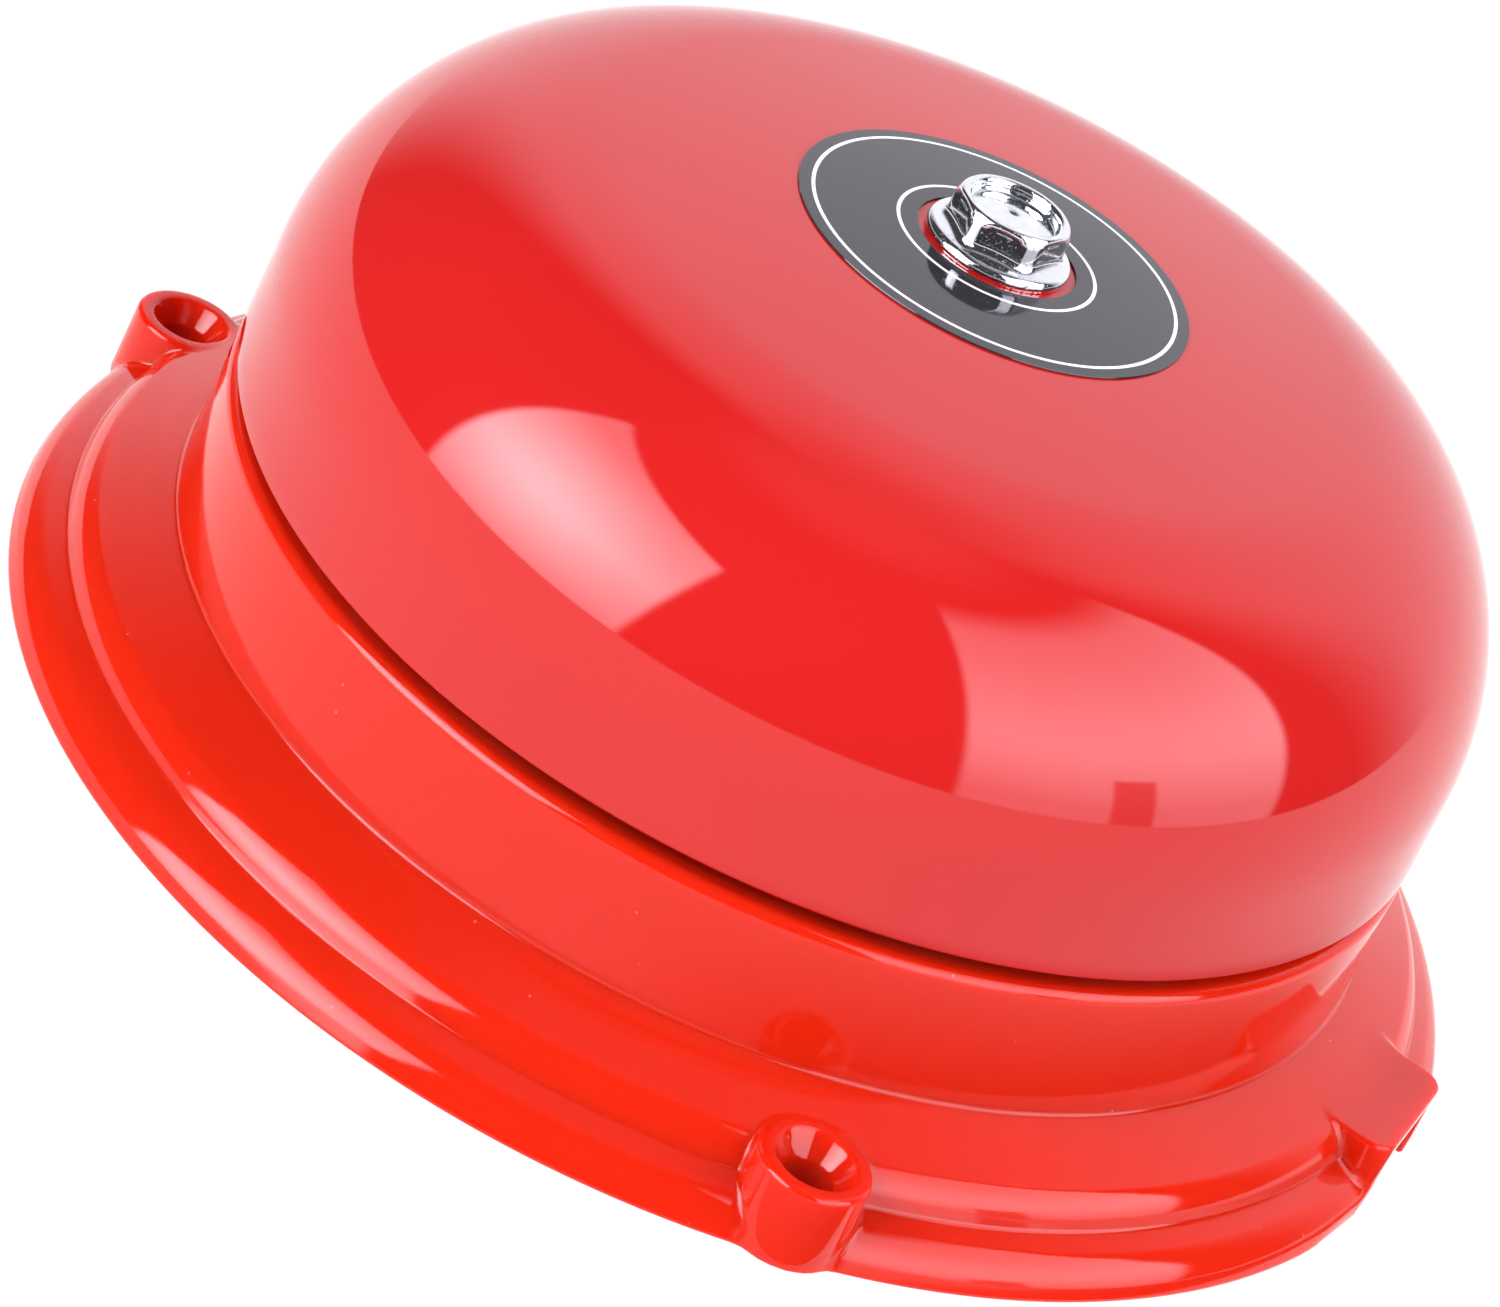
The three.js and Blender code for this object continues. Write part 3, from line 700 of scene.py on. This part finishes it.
def label_black():
    """Black film with two printed silver rings."""
    black, silver, blur = (0.022, 0.022, 0.025), (0.85, 0.85, 0.85), 0.00003
    material, nodes, shader, place = new_material("label_black", black, 0.05)
    parts = nodes.new("ShaderNodeSeparateXYZ")
    nodes.link(place, parts.inputs[0])
    x, y = parts.outputs[0], parts.outputs[1]
    radius = nodes.math("SQRT", nodes.math("ADD", nodes.product(x, x), nodes.product(y, y)))
    printed = None
    for ring in LABEL["rings"]:
        away = nodes.math("ABSOLUTE", nodes.math("SUBTRACT", radius, ring * MM))
        half = LABEL["ring_width"] / 2 * MM
        line = nodes.step(away, half - blur, half + blur, True, 1.0, 0.0)
        printed = line if printed is None else nodes.math("MAXIMUM", printed, line)
    nodes.link(nodes.mix(printed, (*black, 1), (*silver, 1)), shader.inputs["Base Color"])
    fine = nodes.noise(place, 700, 2)
    nodes.link(nodes.bump(fine, 0.0000015), shader.inputs["Normal"])
    return material


def bright_zinc():
    """Bright zinc plating, blotched and finely pitted."""
    dark, light = (0.68, 0.70, 0.74, 1), (0.84, 0.86, 0.88, 1)
    material, nodes, shader, place = new_material("bright_zinc", (0.76, 0.78, 0.81), 0.08, 1.0)
    blotch = nodes.noise(place, 900, 4)
    nodes.link(nodes.mix(blotch, dark, light), shader.inputs["Base Color"])
    pits = nodes.noise(place, 3000, 2, 0.7)
    nodes.link(nodes.step(pits, 0.35, 0.7, False, 0.05, 0.16), shader.inputs["Roughness"])
    speckle = nodes.step(pits, 0.6, 0.75)
    nodes.link(nodes.bump(speckle, 0.000012), shader.inputs["Normal"])
    return material


MATERIALS = {
    "red_enamel": red_enamel(),
    "red_abs": red_abs(),
    "label_black": label_black(),
    "bright_zinc": bright_zinc(),
    "galvanised": grained("galvanised", (0.62, 0.64, 0.66), 0.32, 1.0, 500, 0.00003, 0.1, 0.16),
    "turned_steel": grained("turned_steel", (0.52, 0.53, 0.55), 0.28, 1.0, 1400, 0.00001, 0.08, 0.08),
    "fibre": grained("fibre", (0.24, 0.062, 0.028), 0.75, 0.0, 1600, 0.00004, 0.08, 0.25),
    "acetal": grained("acetal", (0.80, 0.78, 0.70), 0.38, 0.0, 700, 0.00001, 0.06, 0.03),
    "ferrite": grained("ferrite", (0.035, 0.036, 0.040), 0.6, 0.1, 1800, 0.00003, 0.1, 0.25),
    "bronze": grained("bronze", (0.60, 0.36, 0.13), 0.34, 1.0, 1500, 0.00001, 0.08, 0.10),
    "armature": grained("armature", (0.46, 0.16, 0.06), 0.40, 0.9, 2200, 0.00006, 0.1, 0.3),
    "black_nylon": grained("black_nylon", (0.012, 0.012, 0.013), 0.5, 0.0, 1200, 0.00002, 0.1, 0.2),
    "board_green": grained("board_green", (0.010, 0.12, 0.035), 0.42, 0.0, 2500, 0.00001, 0.08, 0.2),
    "terminal_green": grained("terminal_green", (0.02, 0.26, 0.06), 0.45, 0.0, 800, 0.00001, 0.06, 0.05),
    "film_red": grained("film_red", (0.42, 0.02, 0.02), 0.35, 0.0, 900, 0.00001, 0.06, 0.08),
    "lead_red": grained("lead_red", (0.50, 0.01, 0.012), 0.42, 0.0, 900, 0.00001, 0.06, 0.05),
    "lead_black": grained("lead_black", (0.010, 0.010, 0.011), 0.45, 0.0, 900, 0.00001, 0.06, 0.1),
}

NODE_SLOTS = {
    "back_plate": "galvanised", "gong_post": "turned_steel", "gong_washer": "fibre",
    "motor_can": "galvanised", "motor_end_cap": "black_nylon", "motor_bearing": "bronze",
    "motor_rear_bush": "bronze", "motor_magnet_1": "ferrite", "motor_magnet_2": "ferrite",
    "motor_armature": "armature", "motor_shaft": "turned_steel", "striker_arm": "acetal",
    "circuit_board": "board_green", "terminal_block": "terminal_green", "suppression_capacitor": "film_red",
    "protection_diode": "black_nylon", "motor_lead_1": "lead_red", "motor_lead_2": "lead_black",
    "hammer_1": "turned_steel", "hammer_2": "turned_steel",
}


def slot_of(node):
    """The material of a node that isn't remade: listed, bronze for terminal screws, or zinc for the rest."""
    if node in NODE_SLOTS:
        return NODE_SLOTS[node]
    return "bronze" if node.startswith("terminal_screw") else "bright_zinc"


def finish_piece(piece, material_slot, body, *nodes):
    """Gives a new piece its material and body, and lets it stand for CAD nodes."""
    piece.data.materials.clear()
    piece.data.materials.append(MATERIALS[material_slot])
    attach(piece, body)
    if nodes:
        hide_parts(*nodes)


finish_piece(make_base(), "red_abs", "housing", "base")
finish_piece(make_gong(), "red_enamel", "housing", "gong")
finish_piece(make_label(), "label_black", "housing", "gong_label")
finish_piece(make_bolt(), "bright_zinc", "housing", "gong_bolt")

for node_name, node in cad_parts.items():
    if node.hide_render:
        continue
    node.data.materials.clear()
    node.data.materials.append(MATERIALS[slot_of(node_name)])


# ---- Studio: floor, surrounding light and camera ----
# Directions are azimuth and elevation in degrees. Levels are (elevation, level) pairs.
RIGHT_BOX = {
    "low": -134.0, "high": -76.0, "lean": 17 / 62, "edge": 1.2, "top": (58.0, 68.0),
    "levels": [(0, 2.2), (5, 2.4), (10, 3.2), (22, 4.8), (30, 4.8), (40, 4.0), (50, 3.2), (62, 2.4)],
}
STAND = {"low": -107.0, "high": -99.0, "edge": 0.6, "top": (14.0, 15.5), "shade": 0.75}
LEFT_BOX = {
    "low": 120.0, "high": 165.0, "lean": 1 / 6, "edge": 1.2, "top": 58.0, "droop": -16 / 52,
    "levels": [(0, 5.5), (5, 7.0), (10, 8.0), (22, 10.0), (30, 8.8), (40, 7.0), (50, 4.5), (58, 4.0)],
}
HOT_SPOT = {"azimuth": 138.0, "elevation": 24.0, "reach": 34.0, "middle": 1.25, "outside": 0.75}
BACKDROP = {
    "right": (-62.0, -30.0), "left": (66.0, 38.0),
    "levels": [(0, 1.2), (40, 1.2), (60, 1.0), (70, 0.6), (78, 0.38), (90, 0.37)],
}
CEILING = {"start": (66.0, 84.0), "level": 0.37}
ROOM_LEVEL = 0.06
LIGHT_COLOUR = (1.0, 0.985, 1.06, 1)
# Fill lights: azimuth, elevation, energy.
FILLS = {"fill_right": (-60, 20, 1.6), "fill_left": (140, 30, 0.7)}
# The painted contact shade, a dark sheet: its radii in millimetres, the way it lies, and how it fades away
# from that way.
SHADE = {"inner": 95.0, "outer": 135.0, "azimuth": -118, "spread": (0.5, 0.95), "strength": 0.95}


def stage_sheet(name, points, faces, material, below):
    """A flat sheet of the studio, a little below the wall face."""
    mesh = bpy.data.meshes.new(name)
    mesh.from_pydata(points, [], faces)
    mesh.materials.append(material)
    sheet = bpy.data.objects.new(name, mesh)
    bpy.context.scene.collection.objects.link(sheet)
    sheet.location.z = -below
    return sheet


def make_floor():
    half = 6.0
    corners = [(-half, -half, 0), (half, -half, 0), (half, half, 0), (-half, half, 0)]
    material, _, shader, _ = new_material("floor_paper", (0.2, 0.2, 0.2), 0.9)
    shader.inputs["Specular IOR Level"].default_value = 0.0
    shader.inputs["Emission Color"].default_value = (1, 1, 1, 1)
    shader.inputs["Emission Strength"].default_value = 0.86
    stage_sheet("floor", corners, [(0, 1, 2, 3)], material, 0.0002)


def make_surroundings():
    """A studio seen by its light: two softboxes, a stand, a white backdrop and a grey ceiling."""
    world = bpy.data.worlds.new("studio")
    bpy.context.scene.world = world
    world.use_nodes = True
    nodes = Nodes(world.node_tree)
    background = world.node_tree.nodes["Background"]
    direction = nodes.new("ShaderNodeTexCoord").outputs["Generated"]
    parts = nodes.new("ShaderNodeSeparateXYZ")
    nodes.link(direction, parts.inputs[0])
    degrees = 180 / math.pi
    azimuth = nodes.product(nodes.math("ARCTAN2", parts.outputs[1], parts.outputs[0]), degrees)
    elevation = nodes.product(nodes.math("ARCSINE", parts.outputs[2]), degrees)

    def window(value, low, high, soft):
        """1 between low and high, fading over soft on both sides; low and high may be sockets."""
        rise = nodes.step(nodes.math("SUBTRACT", value, low), -soft, soft)
        fall = nodes.step(nodes.math("SUBTRACT", value, high), -soft, soft)
        return nodes.product(rise, nodes.rest_of(fall))

    def by_elevation(levels):
        """A level that follows (elevation, level) pairs."""
        ramp = nodes.new("ShaderNodeValToRGB")
        peak = max(level for _, level in levels)
        elements = ramp.color_ramp.elements
        for _ in range(len(levels) - 2):
            elements.new(0.5)
        for element, (height, _) in zip(elements, levels):
            element.position = height / 90
        for element, (_, level) in zip(elements, levels):
            element.color = (level / peak, level / peak, level / peak, 1)
        nodes.link(nodes.math("DIVIDE", elevation, 90.0), ramp.inputs[0])
        return nodes.product(ramp.outputs[0], peak)

    def slanted(base, slope, value, start=0.0):
        """base + slope * (value - start)."""
        return nodes.math("ADD", nodes.product(nodes.math("SUBTRACT", value, start), slope), base)

    def squared_from(value, middle):
        return nodes.math("POWER", nodes.math("SUBTRACT", value, middle), 2.0)

    right_edge = slanted(RIGHT_BOX["high"], RIGHT_BOX["lean"], elevation)
    right_box = nodes.product(
        window(azimuth, RIGHT_BOX["low"], right_edge, RIGHT_BOX["edge"]),
        nodes.rest_of(nodes.step(elevation, *RIGHT_BOX["top"])),
    )
    stand = nodes.product(
        window(azimuth, STAND["low"], STAND["high"], STAND["edge"]),
        nodes.rest_of(nodes.step(elevation, *STAND["top"])),
    )
    right_box = nodes.product(right_box, nodes.rest_of(nodes.product(stand, STAND["shade"])))
    right = nodes.product(right_box, by_elevation(RIGHT_BOX["levels"]))

    left_edge = slanted(LEFT_BOX["high"], LEFT_BOX["lean"], elevation)
    left_top = slanted(LEFT_BOX["top"], LEFT_BOX["droop"], azimuth, LEFT_BOX["low"])
    over_top = nodes.step(nodes.math("SUBTRACT", elevation, left_top), -LEFT_BOX["edge"], LEFT_BOX["edge"])
    left_box = nodes.product(
        window(azimuth, LEFT_BOX["low"], left_edge, LEFT_BOX["edge"]),
        nodes.rest_of(over_top),
    )
    from_spot = nodes.math("SQRT", nodes.math(
        "ADD", squared_from(azimuth, HOT_SPOT["azimuth"]), squared_from(elevation, HOT_SPOT["elevation"]),
    ))
    spot = nodes.step(from_spot, 0.0, HOT_SPOT["reach"], True, HOT_SPOT["middle"], HOT_SPOT["outside"])
    left = nodes.product(left_box, nodes.product(by_elevation(LEFT_BOX["levels"]), spot))

    sides = nodes.product(nodes.step(azimuth, *BACKDROP["right"]), nodes.step(azimuth, *BACKDROP["left"]))
    backdrop = nodes.product(sides, by_elevation(BACKDROP["levels"]))
    ceiling = nodes.product(nodes.step(elevation, *CEILING["start"]), CEILING["level"])
    total = nodes.math("ADD", right, left)
    for level in (nodes.math("MAXIMUM", backdrop, ceiling), ROOM_LEVEL):
        total = nodes.math("MAXIMUM", total, level)
    nodes.link(total, background.inputs["Strength"])
    background.inputs["Color"].default_value = LIGHT_COLOUR


def direction_of(azimuth, elevation):
    """The unit vector towards a direction in degrees."""
    a, e = math.radians(azimuth), math.radians(elevation)
    return Vector((math.cos(a) * math.cos(e), math.sin(a) * math.cos(e), math.sin(e)))


def make_fill_light(name, azimuth, elevation, energy):
    """A broad soft light that only fills: it isn't mirrored in the gloss."""
    data = bpy.data.lights.new(name, "SUN")
    data.energy = energy
    data.angle = math.radians(70)
    light = bpy.data.objects.new(name, data)
    bpy.context.scene.collection.objects.link(light)
    light.rotation_mode = "QUATERNION"
    light.rotation_quaternion = (-direction_of(azimuth, elevation)).to_track_quat("-Z", "Y")
    light.visible_glossy = False


def make_contact_shade():
    """A dark sheet on the floor on the hood's side, seen only in reflections: painted shade standing in for
    the bell's own shade there.
    """
    sides = 96
    radii = (SHADE["inner"] * MM, SHADE["outer"] * MM)
    turns = [2 * math.pi * k / sides for k in range(sides)]
    points = [(r * math.cos(t), r * math.sin(t), 0) for r in radii for t in turns]
    faces = [(k, (k + 1) % sides, sides + (k + 1) % sides, sides + k) for k in range(sides)]
    # Painted shade: a dark colour whose cover fades with distance from the bell and away from the hood's
    # side.
    material, nodes, shader, place = new_material("contact_shade", (0.03, 0.01, 0.01), 0.9)
    shader.inputs["Specular IOR Level"].default_value = 0.0
    length = nodes.new("ShaderNodeVectorMath", operation="LENGTH")
    nodes.link(place, length.inputs[0])
    fade = nodes.step(length.outputs["Value"], *radii, True, SHADE["strength"], 0.0)
    side = nodes.new("ShaderNodeVectorMath", operation="DOT_PRODUCT")
    nodes.link(place, side.inputs[0])
    side.inputs[1].default_value = direction_of(SHADE["azimuth"], 0)
    facing = nodes.math("DIVIDE", side.outputs["Value"], length.outputs["Value"])
    nodes.link(nodes.product(fade, nodes.step(facing, *SHADE["spread"])), shader.inputs["Alpha"])
    shade = stage_sheet("contact_shade", points, faces, material, 0.0001)
    shade.visible_camera = False
    shade.visible_diffuse = False
    shade.visible_shadow = False


# The camera's place round the origin and the point it looks at, in degrees and millimetres.
CAMERA = {"azimuth": -167.23, "elevation": 30.9946, "distance": 624.493, "roll": -26.1177, "lens": 125.017}
AIM = (-1.117, 4.728, 13.850)


def make_camera():
    data = bpy.data.cameras.new("camera")
    data.sensor_width = 36
    data.lens = CAMERA["lens"]
    data.clip_start = 0.05
    data.clip_end = 30
    camera = bpy.data.objects.new("camera", data)
    bpy.context.scene.collection.objects.link(camera)
    camera.location = direction_of(CAMERA["azimuth"], CAMERA["elevation"]) * CAMERA["distance"] * MM
    look = (Vector(AIM) * MM - camera.location).normalized()
    camera.rotation_mode = "QUATERNION"
    level = look.to_track_quat("-Z", "Y")
    camera.rotation_quaternion = Quaternion(look, math.radians(CAMERA["roll"])) @ level
    bpy.context.scene.camera = camera


make_floor()
make_surroundings()
for fill_name, (fill_azimuth, fill_elevation, fill_energy) in FILLS.items():
    make_fill_light(fill_name, fill_azimuth, fill_elevation, fill_energy)
make_contact_shade()
make_camera()
bpy.context.scene.view_settings.view_transform = "Standard"
